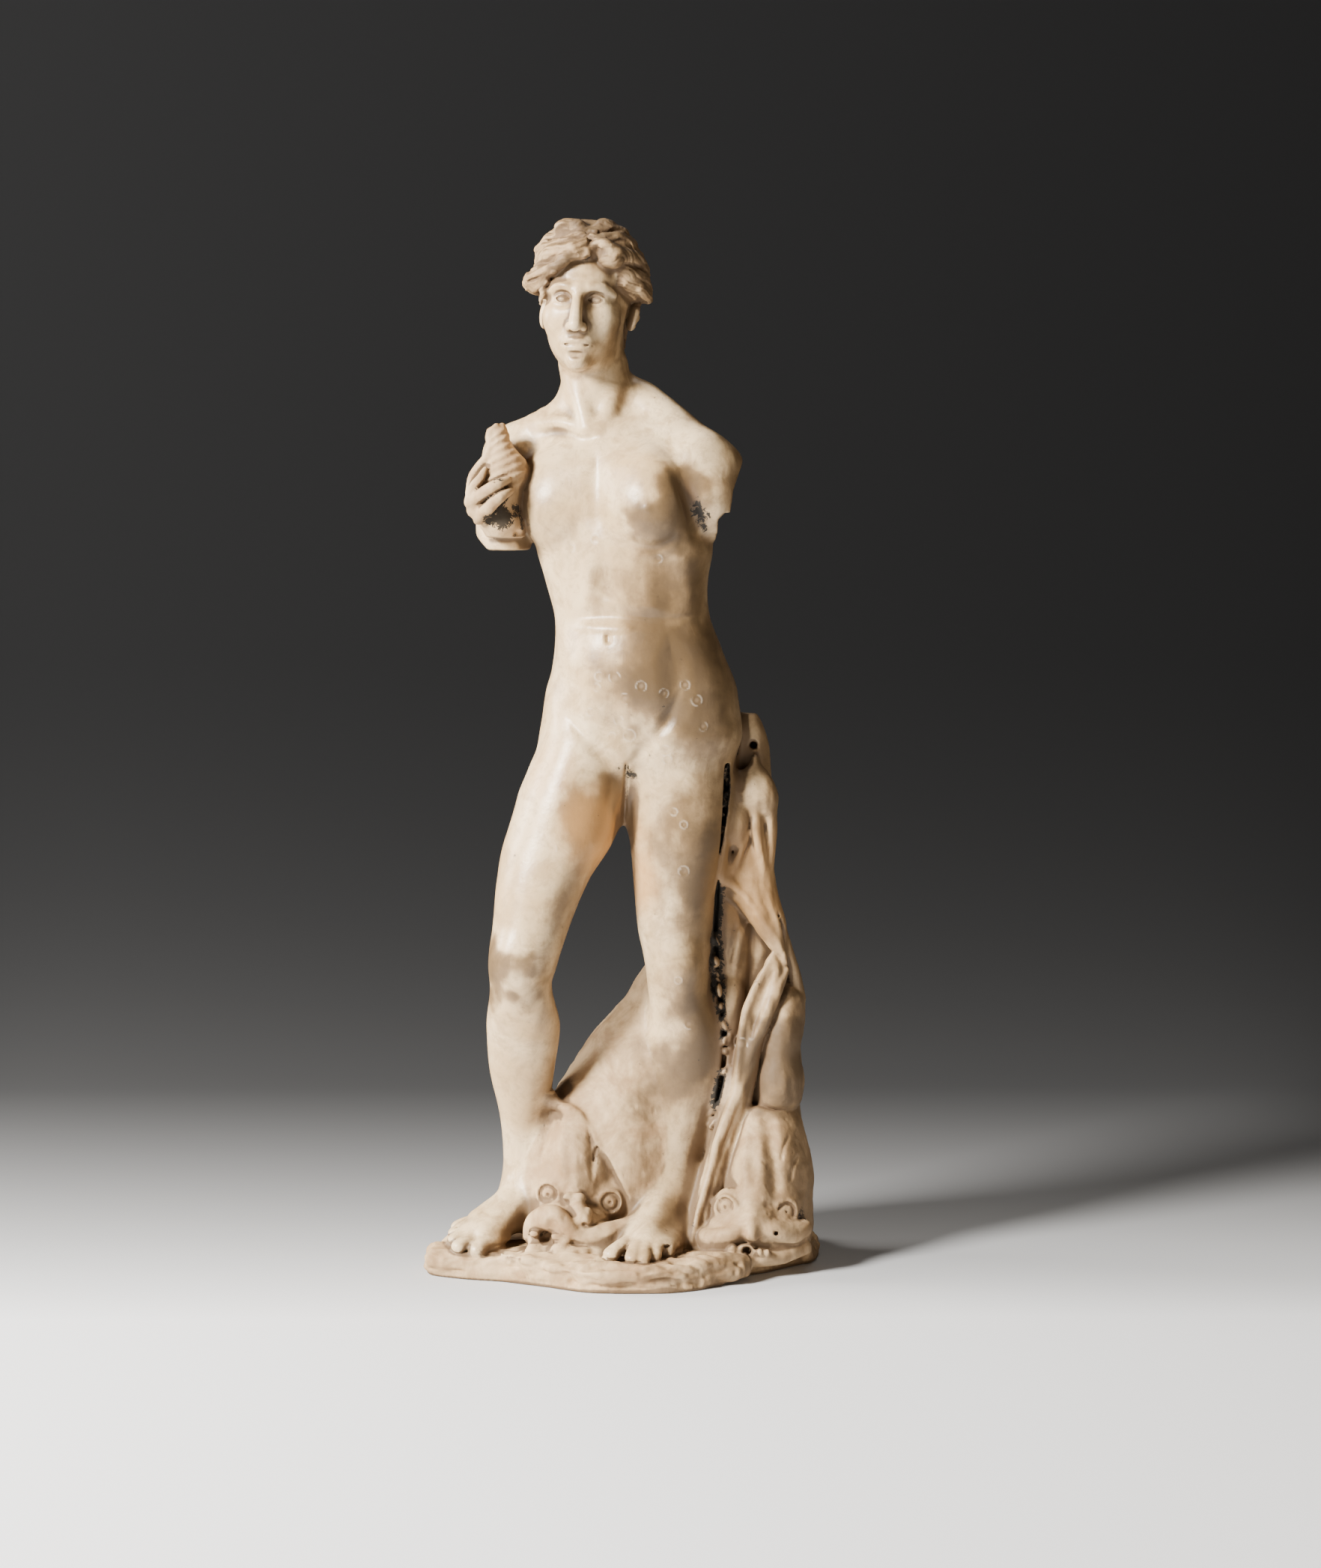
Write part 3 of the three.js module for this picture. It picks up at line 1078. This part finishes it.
function addHair(f) {
  f.add(loft(HAIR_MASS), 4);
  // strands drawn back over the sides to the knot at the nape
  for (const s of [-1, 1]) {
    for (let j = 0; j < 5; j++) {
      const side = 54 - 19 * j;
      addLock(
        f,
        [
          onHair(s, 42, side + 12), onHair(s, 66, side + 5), onHair(s, 92, side - 2),
          onHair(s, 120, side * 0.8 - 6), onHair(s, 150, side * 0.55 - 10), onHair(s, 176, side * 0.3 - 12),
        ],
        [5, 7, 8, 8, 8, 6], 2.6,
      );
    }
  }
  // waves on both sides of the parting, over a fuller bed
  f.add(
    tube(
      [
        [-44, -47, 1138], [-57, -45, 1134], [-72, -40, 1129], [-82, -28, 1127], [-87, -6, 1126],
        [-86, 20, 1122],
      ],
      [10, 12.5, 12.5, 11, 9, 8],
    ),
    6,
  );
  f.add(
    tube(
      [[-33, -47, 1139], [-20, -46, 1138], [-6, -41, 1133], [6, -30, 1125], [12, -14, 1118], [14, 8, 1112]],
      [10, 12, 12.5, 11.5, 10, 9],
    ),
    6,
  );
  f.add(
    tube(
      [[-10, -40, 1120], [2, -38, 1110], [12, -29, 1100], [20, -14, 1094], [24, 4, 1090]], [5, 8, 9, 9, 8],
    ),
    10,
  );
  for (const [path, radii, swing, turns, start] of FRONT_WAVES) {
    f.add(tube(waved(path, swing, turns, start), thicknesses(radii)), 2.6);
  }
  f.add(ball([-14, -55, 1124], [14.5, 12, 11.5], [0, 14, 0]), 4);
  f.add(ball([-41, -52, 1131], [13, 11, 8]), 6);
  f.cut(tube([[-29, -68, 1127], [-18, -72, 1124.5], [-8, -70, 1125]], [1, 2.6, 1.2]), 2);
  f.cut(tube([[-37, -74, 1142], [-34, -72, 1132], [-32, -68, 1120]], [1, 2.8, 3.5]), 4);
  // broken lumps and hollows of the crown over the waves
  for (const [x, y, z, r] of [
    [-62, -20, 1160, 14], [-77, -6, 1147, 11], [-48, -26, 1159, 13], [-21, -22, 1160, 14],
    [-6, -14, 1154, 12], [5, -4, 1143, 10], [-34, -30, 1156, 10],
  ]) {
    f.add(ball([x, y, z], [r, r, r * 0.72]), 7);
  }
  f.cut(
    tube([[-80, -32, 1146], [-66, -46, 1151], [-52, -52, 1154], [-40, -52, 1155]], [1.5, 4.5, 5, 2.5]), 4,
  );
  f.cut(tube([[-30, -50, 1156], [-20, -50, 1158], [-6, -40, 1155]], [2, 4, 2]), 4);
  f.cut(tube([[-72, -30, 1156], [-60, -38, 1161], [-46, -38, 1166]], [3, 6.5, 4]), 6);
  f.cut(tube([[-30, -38, 1164], [-20, -37, 1167], [-9, -30, 1165]], [3, 7, 3]), 6);
  f.press(line([[-37, -40, 1162], [-37, -20, 1172], [-37, 20, 1174]]), 4, 12);
  // roll that stands out at the viewer's left temple, and the waves above the ear on the right
  f.add(
    tube(
      [[-80, -46, 1111], [-90, -36, 1109], [-99, -22, 1103], [-102, -4, 1099], [-96, 18, 1096]],
      [7, 9.5, 10.5, 9, 8],
    ),
    3,
  );
  f.add(tube([[-84, -40, 1101], [-92, -30, 1096], [-98, -18, 1094]], [4, 6, 6]), 3);
  f.cut(tube([[-84, -52, 1106], [-92, -44, 1104], [-104, -30, 1101]], [1, 1.6, 1]), 2.5);
  f.add(ball([-87, -34, 1087], [5, 6, 7]), 3);
  // knot at the nape and a lock that hangs from it
  f.add(ball([-26, 82, 1078], [24, 17, 19]), 6);
  for (let k = 0; k < 3; k++) {
    f.add(ring([-26, 84, 1078], 8 + 5 * k, 3.5), 3);
  }
  f.add(tube([[-30, 74, 1062], [-26, 62, 1036], [-14, 56, 1012]], [14, 11, 6]), 5);
}

function addHead(f) {
  f.add(tube([[-24, 26, 930], [-31, 18, 980], [-36, 12, 1036]], [39, 37, 36]), 16);
  f.add(tube([[-28, -24, 942], [-16, -16, 962], [-6, 8, 1012]], [5, 7, 8]), 12);
  f.add(tube([[-40, -22, 942], [-46, -14, 965], [-60, 10, 1012]], [5, 7, 8]), 12);
  addFace(f);
  addEar(f, [12, 6, 1067], [0, 16, 14]);
  addEar(f, [-84, -4, 1069], [0, -12, 160]);
  addHair(f);
}

function addShell(f) {
  f.add(loft(SHELL_ROWS), 3);
  for (const r of SHELL_RIBS) {
    f.press(line([r.slice(0, 3), r.slice(3, 6), r.slice(6, 9)]), -2.2, 4);
  }
  // rolled lip and its groove
  f.add(
    tube(
      [
        [-140, -20, 944], [-148, -22, 934], [-147, -24, 921], [-151, -26, 909], [-160, -27, 897],
        [-167, -26, 884], [-170, -24, 868],
      ],
      [3, 4, 4.5, 5.5, 6, 6, 5],
    ),
    2.5,
  );
  f.cut(
    tube([[-140, -34, 937], [-141, -35, 922], [-146, -38, 909], [-156, -40, 897]], [1.2, 2.4, 2.6, 1.5]), 3,
  );
  // torn flap beside the hand
  f.add(
    tube([[-152, -38, 896], [-157, -42, 886], [-164, -41, 877], [-170, -37, 864]], [3, 5, 5.5, 5]), 1.5,
  );
  f.cut(tube([[-150, -54, 890], [-152, -54, 879], [-160, -54, 872]], [4, 5, 3]), 2);
  // two fingers, the palm and the break at its edge
  f.add(
    tube([[-168, -38, 860], [-151, -47, 871], [-138, -50, 879], [-127, -43, 884]], [7.5, 7.2, 6.3, 4]), 1.5,
  );
  f.add(
    tube([[-160, -34, 842], [-148, -49, 854], [-134, -51, 866], [-124, -44, 872]], [8, 7, 5.8, 4]), 1.5,
  );
  f.add(ball([-161, -38, 868], [7, 7, 5]), 2);
  f.add(ball([-160, -32, 851], [13, 13, 12]), 3);
  // ragged lower edge
  for (const [x, y, z, r] of [
    [-114, -30, 824, 6], [-126, -40, 819, 7], [-137, -46, 822, 5], [-149, -46, 820, 7], [-163, -42, 828, 7],
    [-173, -32, 838, 6],
  ]) {
    f.cut(ball([x, y, z], [r * 1.3, r * 2, r]), 3);
  }
}

/** s is the side of the big toe, k the size. */
function addFoot(f, frame, s, k, toes, sideLift) {
  const b = (c, r) => ball(c.map((v) => v * k), r.map((v) => v * k));
  const t = (p, r, flat = [1, 1, 1], each = 5) => (
    tube(p.map((q) => q.map((v) => v * k)), r.map((v) => v * k), flat, each)
  );
  f.add(b([0, 20, 22], [21, 20, 22]), 12, frame);
  f.add(
    t(
      [[0, 4, 75], [s * 2, -16, 54], [s * 5, -50, 36], [s * 6, -84, 21]], [24, 24, 20, 15], [1.15, 1, 0.9],
      14,
    ),
    14, frame,
  );
  f.add(
    t(
      [[-s * 6, 15, 17 + sideLift], [-s * 13, -36, 18 + sideLift], [-s * 17, -66, 12 + sideLift]],
      [17, 18, 14], [1, 1, 1], 12,
    ),
    12, frame,
  );
  f.add(t([[s * 8, 10, 22], [s * 12, -40, 24], [s * 18, -84, 16]], [15, 14, 13], [1, 1, 1], 12), 12, frame);
  f.add(b([s * 2, -84, 12], [33, 25, 13]), 10, frame);
  for (const [root, ry, tip, ty, r, lift] of toes) {
    const [rx, tx] = [root * s, tip * s];
    const [mx, my] = [rx + (tx - rx) * 0.55, ry + (ty - ry) * 0.55];
    f.add(
      t(
        [
          [rx, ry + 18, r + 7 + lift], [rx, ry, r + 6.5 + lift], [mx, my, r + 4 + lift],
          [tx, ty + 4, r + lift], [tx, ty + 1, r - 2 + lift],
        ],
        [r * 0.9, r, r * 0.92, r * 0.95, r * 0.85], [1.3, 1, 0.95],
      ),
      2.4, frame,
    );
    f.cut(b([tx + (rx - tx) * 0.1, ty - 1, 2 * r + lift], [r * 0.62, r * 0.7, r * 0.25]), 0.8, frame);
  }
  f.add(b([s * 23, 6, 80], [8, 10, 11]), 10, frame);
  f.add(b([-s * 22, 10, 72], [8, 10, 11]), 10, frame);
}

function addKneesAndFeet(f) {
  addFoot(f, BENT_LEG_FOOT, 1, 0.93, BENT_TOES, 9);
  addFoot(f, STANDING_FOOT, -1, 1, STANDING_TOES, 0);
  f.add(ball([-118, -64, 356], [20, 15, 24]), 18);
  f.add(ball([-116, -58, 322], [10, 10, 16]), 16);
  f.add(ball([61, -31, 344], [19, 14, 23]), 18);
  f.add(ball([62, -26, 312], [10, 9, 15]), 16);
  // deep groove between the leg and the cloth
  f.cut(tube(LEG_GROOVE, [3.5, 4.2, 3.8, 3, 2.4, 2.4, 2.6, 2.6, 2.8, 3, 3, 2.8, 2.6, 1.5], [1, 5, 1]), 2);
}

function addBase(f) {
  f.add(slab(BASE_OUTLINE, -30, BASE_TOP, BASE_ROUND), 0, new Frame([5, 10, 0]));
  // rock that rises at the left end, behind the toes, and lumps along the front
  for (const [c, r] of [
    [[-186, -44, 14], [30, 24, 22]], [[-168, -4, 10], [34, 36, 22]], [[-68, -88, 20], [50, 26, 14]],
    [[104, -88, 16], [34, 30, 16]],
  ]) {
    f.add(ball(c, r), 14);
  }
  for (const [c, r] of [
    [[-206, -54, 24], [14, 14, 15]], [[-192, -62, 18], [16, 12, 12]], [[-208, -40, 14], [12, 20, 16]],
  ]) {
    f.add(ball(c, r), 9);
  }
  // wavy front, with long hollows that run along it
  for (const [p, r] of [
    [[[-190, -88, 12], [-150, -100, 8], [-110, -112, 12], [-80, -130, 10]], [3, 6, 5, 3]],
    [[[-150, -98, 22], [-120, -108, 20], [-96, -118, 22]], [2, 4, 2]],
    [[[-60, -146, 8], [-20, -152, 6], [20, -152, 8], [60, -146, 10]], [2, 5, 4, 3]],
  ]) {
    f.cut(tube(p, r), 6);
  }
  for (const p of [
    [[-150, -96, 30], [-120, -106, 32], [-88, -116, 28]],
    [[-100, -122, 22], [-60, -138, 24], [-20, -148, 20]], [[0, -148, 22], [34, -146, 26], [66, -136, 20]],
    [[60, -120, 28], [90, -106, 28], [118, -84, 24]], [[-76, -96, 32], [-44, -112, 32], [-8, -116, 31]],
  ]) {
    f.press(line(p, 8), -4, 9);
  }
  // the underside breaks away below the side dolphin
  f.cut(tube([[112, -100, -10], [140, -82, -8], [172, -66, -6], [214, -32, 0]], [15, 17, 19, 22]), 4);
}

/** Ringed eye, flush with the head, that looks along its own -Y. */
function addEye(f, centre, turn, r) {
  const e = new Frame(centre, turn);
  f.add(ball([0, 9, 0], [r + 9, 10, r + 8]), 8, e);
  f.add(ring([0, 0.5, 0], r, 2.6), 2.5, e);
  f.cut(ring([0, -1.5, 0], r - 3.2, 2.1), 0.8, e);
  f.add(ball([0, 3.5, 0], [r - 4.4, 6, r - 4.4]), 0.5, e);
  f.cut(ball([0, -4, 0], [2.4, 4.5, 2.4]), 0.8, e);
}

function addDolphins(f) {
  // centre dolphin, its collar, head and brow
  f.add(loft(D1_BODY), 6);
  f.cut(
    prism(
      [[-140, 229], [-80, 192], [-48, 172], [-14, 124], [3, 92], [14, 50], [14, -20], [-140, -20]], -120,
      20,
    ),
    2,
  );
  f.add(loft(D1_HEAD), 2);
  f.add(
    tube(
      [
        [-92, 10, 188], [-78, -8, 185], [-65, -18, 180], [-47, -24, 171], [-30, -31, 147], [-13, -36, 122],
        [2, -38, 93], [10, -36, 66],
      ],
      [2, 3, 3, 3.5, 3.5, 3.5, 3, 2.5],
    ),
    3,
  );
  f.add(tube([[-48, -16, 150], [-43, -22, 130], [-36, -27, 112]], [14, 18, 17]), 12);
  f.add(tube([[-58, 0, 178], [-58, -18, 148], [-54, -28, 118], [-52, -34, 94]], [12, 19, 23, 21]), 16);
  f.press(line([[-40, -24, 162], [-37, -38, 132], [-36, -48, 104]], 4), 2.4, 7);
  f.press(line([[-80, -26, 186], [-85, -34, 160], [-92, -40, 132], [-98, -44, 104]], 4), 4.5, 6);
  f.press(line([[-60, -26, 160], [-61, -38, 132], [-60, -46, 108]], 4), 1.2, 8);
  for (const [x, y, z] of [[-33, -36, 133]]) {
    f.cut(tube([[x + 3, y, z + 8], [x, y - 3, z], [x - 2, y - 5, z - 9]], [1, 1.8, 1]), 1.5);
  }
  addEye(f, [-85, -40, 87], [0, 0, -24], 13);
  addEye(f, [-16, -44, 79], [0, 0, 12], 12.5);
  // snout, knot and nostril
  f.add(ball([-62, -48, 58], [44, 32, 24]), 8);
  f.add(tube([[-57, -52, 86], [-52, -66, 76], [-46, -76, 66]], [9, 10, 9]), 5);
  f.add(ball([-61, -60, 88], [7.5, 6, 5]), 3);
  f.add(ball([-50, -62, 88], [7.5, 6, 5]), 3);
  f.add(ball([-41, -73, 73], [5, 5, 6]), 1.5);
  f.add(ball([-51, -80, 66], [6, 5.5, 5.5]), 1.5);
  f.cut(ball([-44, -88, 62], [4, 8, 3.6]), 1.5);
  // the hood of the lip and its long fold
  f.add(
    tube(
      [
        [-104, -54, 44], [-100, -66, 58], [-90, -74, 67], [-77, -79, 67], [-66, -81, 60], [-57, -80, 51],
        [-45, -78, 47], [-31, -74, 47], [-16, -67, 49], [-1, -56, 51], [12, -42, 54],
      ],
      [10, 12, 14, 15, 13, 11.5, 12, 13, 13, 12, 10],
    ),
    4,
  );
  f.cut(ball([-80, -96, 62], [6, 7, 12]), 6);
  f.add(ball([-86, -66, 40], [22, 22, 16]), 5);
  f.add(ball([-30, -66, 30], [40, 24, 16]), 8);
  for (const [x, y, z, r] of [
    [-99, -83, 52, 5], [-75, -90, 50, 6], [-66, -90, 46, 6.5], [-72, -95, 40, 7], [-60, -92, 36, 7],
    [-100, -84, 38, 6], [-48, -88, 33, 8],
  ]) {
    f.add(ball([x, y, z], [r * 1.2, r, r * 0.85]), 2.5);
  }
  f.cut(tube([[-90, -110, 46], [-87, -78, 48]], [8.5, 7]), 1.5);
  // right dolphin, the coil above it, its head and brow
  f.add(loft(D2_ROLL), 3);
  f.cut(ball([215, 10, 236], [10, 40, 5]), 6);
  f.cut(tube([[188, -40, 300], [186, -32, 250], [190, -30, 190]], [2, 3, 2]), 8);
  f.add(loft(D2_HEAD), 2);
  f.add(tube([[150, -14, 168], [144, -25, 138], [143, -36, 112], [146, -44, 90]], [12, 20, 24, 24]), 14);
  f.add(ball([146, -56, 88], [20, 12, 10]), 5);
  f.press(line([[161, -36, 164], [166, -48, 130], [168, -56, 98]]), 4, 13);
  f.press(line([[127, -30, 156], [122, -42, 126], [122, -50, 98]]), 4, 12);
  f.press(line([[144, -34, 160], [143, -46, 132], [144, -56, 108]]), 1.4, 10);
  for (const [x, z] of [[178, 140], [188, 118]]) {
    f.press(line([[x + 6, -42, z + 10], [x, -47, z], [x - 2, -50, z - 12]]), 2.5, 3.5);
  }
  addEye(f, [113, -61, 77], [0, 0, -26], 12);
  addEye(f, [180, -55, 70], [0, 0, 18], 13);
  f.add(ball([142, -50, 48], [52, 30, 28]), 8);
  f.add(ball([142, -64, 62], [24, 20, 20]), 8);
  f.add(tube([[141, -66, 78], [141, -76, 66], [141, -82, 52]], [7, 9, 10]), 7);
  f.add(
    tube(
      [[132, -74, 62], [121, -78, 52], [108, -76, 45], [97, -70, 42], [91, -60, 42], [88, -46, 46]],
      [9, 10, 11, 11, 11, 10],
    ),
    5,
  );
  f.add(
    tube(
      [[150, -74, 62], [163, -74, 55], [176, -68, 49], [189, -59, 47], [200, -46, 49]], [9, 11, 12, 12, 11],
    ),
    5,
  );
  f.cut(ball([132, -94, 57], [4.5, 6, 9]), 4);
  f.cut(ball([151, -92, 50], [4, 5, 7]), 4);
  f.cut(tube([[167, -92, 54], [169, -76, 50]], [2, 2]), 1);
  f.add(
    tube(
      [[100, -54, 28], [118, -70, 26], [145, -74, 22], [172, -64, 23], [198, -46, 28]],
      [11, 12, 12, 12, 12],
    ),
    5,
  );
  f.cut(ball([136, -92, 35], [18, 10, 5]), 3);
  f.add(ring([135, -84, 31], 8, 2.6), 1.5);
  f.cut(tube([[135, -104, 31], [135, -76, 31]], [6.5, 5.5]), 1);
  for (const [x, y, z, r] of [
    [120, -84, 35, 4.5], [150, -84, 31, 5], [158, -82, 30, 4.5], [112, -80, 30, 5],
  ]) {
    f.add(ball([x, y, z], [r, r, r * 1.1]), 1.5);
  }
}

function addDrapery(f) {
  f.add(loft(SUPPORT), 8);
  f.cut(
    prism([[120, 612], [138, 621], [156, 619], [170, 604], [190, 604], [190, 650], [110, 650]], -10, 90), 3,
  );
  f.cut(tube([[144, 0, 589], [146, 26, 587]], [DOWEL_HOLE, DOWEL_HOLE]), 1.5);
  f.cut(tube([[138, 4, 606], [137, 6, 598]], [2, 2.5]), 3);
  // web that joins the leg and the support
  f.add(
    tube(
      [[118, 32, 560], [110, 30, 450], [108, 26, 300], [104, 18, 150], [88, 10, 50]], [14, 15, 17, 18, 20],
    ),
    6,
  );
  // gathered cloth and its lobes
  f.add(loft(BUNDLE), 2);
  f.cut(tube([[150, -14, 570], [160, -16, 556], [170, -14, 542]], [1, 2, 1.5]), 4);
  f.add(tube([[134, -6, 520], [131, -12, 503], [128, -13, 490], [127, -12, 481]], [9, 9, 8, 6.5]), 2.5);
  f.add(
    tube(
      [[148, -9, 516], [149, -12, 497], [152, -12, 478], [156, -9, 450], [158, -6, 428]], [8, 8, 7.5, 6, 4],
    ),
    2.5,
  );
  f.add(tube([[162, -2, 512], [163, -3, 490], [162, -2, 460], [160, 0, 430]], [9, 8.5, 8, 7]), 3);
  f.cut(tube([[140, -22, 508], [141, -22, 496], [139, -21, 482]], [1.2, 2.4, 2.5]), 2);
  f.cut(tube([[157, -18, 508], [157, -18, 486], [161, -16, 456], [164, -14, 430]], [1.2, 2, 2.4, 1.5]), 3);
  // first fold: a broad panel with a rolled edge, and the pocket behind its top
  f.add(loft(FIRST_FOLD), 3);
  f.add(
    tube(
      [
        [124, -4, 516], [116, -9, 502], [110.5, -12, 484], [109, -12, 464], [111.5, -12, 449],
        [118.5, -13, 437], [131, -14, 425], [145, -14, 408], [157, -14, 391], [169.5, -13, 373],
        [178, -11, 356], [181, -9, 344],
      ],
      [4, 5, 5.5, 6, 6, 6, 5.5, 5, 4.5, 4, 3.5, 2.5],
    ),
    2.5,
  );
  f.cut(tube([[122, -20, 476], [119, -20, 465], [122, -19, 457]], [4.5, 6, 4]), 3);
  f.add(tube([[139, -12, 493], [133, -14, 476], [126, -14, 458], [120, -13, 446]], [4, 4.5, 4.5, 4]), 3);
  f.cut(tube([[152, -20, 440], [156, -20, 420], [166, -18, 396]], [1, 2, 1]), 6);
  // rough stone and a slanting fold in the hollow below it
  f.add(tube([[120, 18, 430], [122, 13, 375], [124, 18, 318]], [18, 19, 18]), 5);
  f.press(line([[141, 4, 392], [131, 2, 364], [124, 4, 330]], 5), -3, 9);
  f.press(line([[128, 4, 398], [122, 2, 366], [118, 4, 336]], 5), 2.5, 6);
  f.add(loft(BACK_PANEL), 3);
  // long fold down the right side
  f.add(
    tube(
      [[164, 6, 440], [167, 7, 412], [174, 7, 384], [183, 8, 356], [193, 10, 326], [199, 12, 300]],
      [6, 7.5, 8, 8, 7.5, 6],
    ),
    3,
  );
  f.cut(tube([[171, -10, 400], [181, -8, 372], [190, -6, 340]], [1.5, 2.5, 2]), 3);
  // second fold: a twisted band with a slit down its middle
  f.add(
    tube(
      [[168, -6, 334], [154, -9, 298], [140, -10, 246], [131, -10, 190], [118, -13, 150]],
      [12, 15, 14, 13, 12],
    ),
    4,
  );
  f.add(
    tube(
      [
        [168, -9, 354], [161, -13, 340], [151, -15, 324], [143, -17, 306], [137, -18, 290], [132, -19, 262],
        [129, -20, 228], [124, -22, 196], [114, -26, 166], [104, -30, 138], [99, -31, 124],
      ],
      [3, 4.5, 5, 5.5, 6, 6.5, 6.5, 6, 5.5, 4, 2.5],
    ),
    2.5,
  );
  f.add(
    tube(
      [[182, -8, 336], [171, -13, 314], [159, -17, 290], [150, -18, 268], [143, -18, 248], [133, -19, 222]],
      [4, 8, 10, 10, 8, 5],
    ),
    2.5,
  );
  f.press(line([[168, -20, 336], [158, -20, 314], [149, -22, 290], [143, -22, 262]], 4), 5, 8);
  f.add(ball([169, -7, 343], [10, 8, 9]), 5);
  // end of the cloth: a flat band that runs down to the base
  f.add(loft(TAIL), 3);
  f.add(
    tube(
      [
        [143, -16, 232], [132, -21, 206], [118, -24, 178], [106, -29, 146], [97, -36, 112], [86, -48, 76],
        [75, -62, 38],
      ],
      [4, 6, 6, 5, 4.5, 4, 4],
    ),
    4,
  );
  f.press(
    line([[146, -20, 214], [134, -24, 176], [120, -30, 136], [106, -42, 96], [92, -54, 60]], 6), 2.5, 7,
  );
}

// Everything together

function buildStatue() {
  const field = new Field(GRID_LOW, GRID_HIGH, GRID_STEP);
  addDolphins(field);
  addBase(field);
  addDrapery(field);
  addBody(field);
  addShoulders(field);
  addHead(field);
  addKneesAndFeet(field);
  addShell(field);
  field.cut(block([0, 0, -50], [400, 400, 50]));
  field.settle();

  const { points, faces } = field.surface();
  const solid = new Simplifier(points, faces).run(MOST_TRIANGLES);
  const position = solid.points.map((v, i) => (i % 3 === 2 && Math.abs(v) < 0.3 ? 0 : v));
  const geometry = new THREE.BufferGeometry();
  geometry.setAttribute('position', new THREE.Float32BufferAttribute(position, 3));
  geometry.setIndex(solid.faces);
  geometry.computeVertexNormals();
  const marble = new THREE.MeshStandardMaterial({ color: MARBLE_COLOUR, roughness: 0.6, metalness: 0 });
  const mesh = new THREE.Mesh(geometry, marble);
  mesh.name = 'amphitrite_statue';
  return mesh;
}

const statue = new THREE.Group();
statue.add(buildStatue());

export default statue;
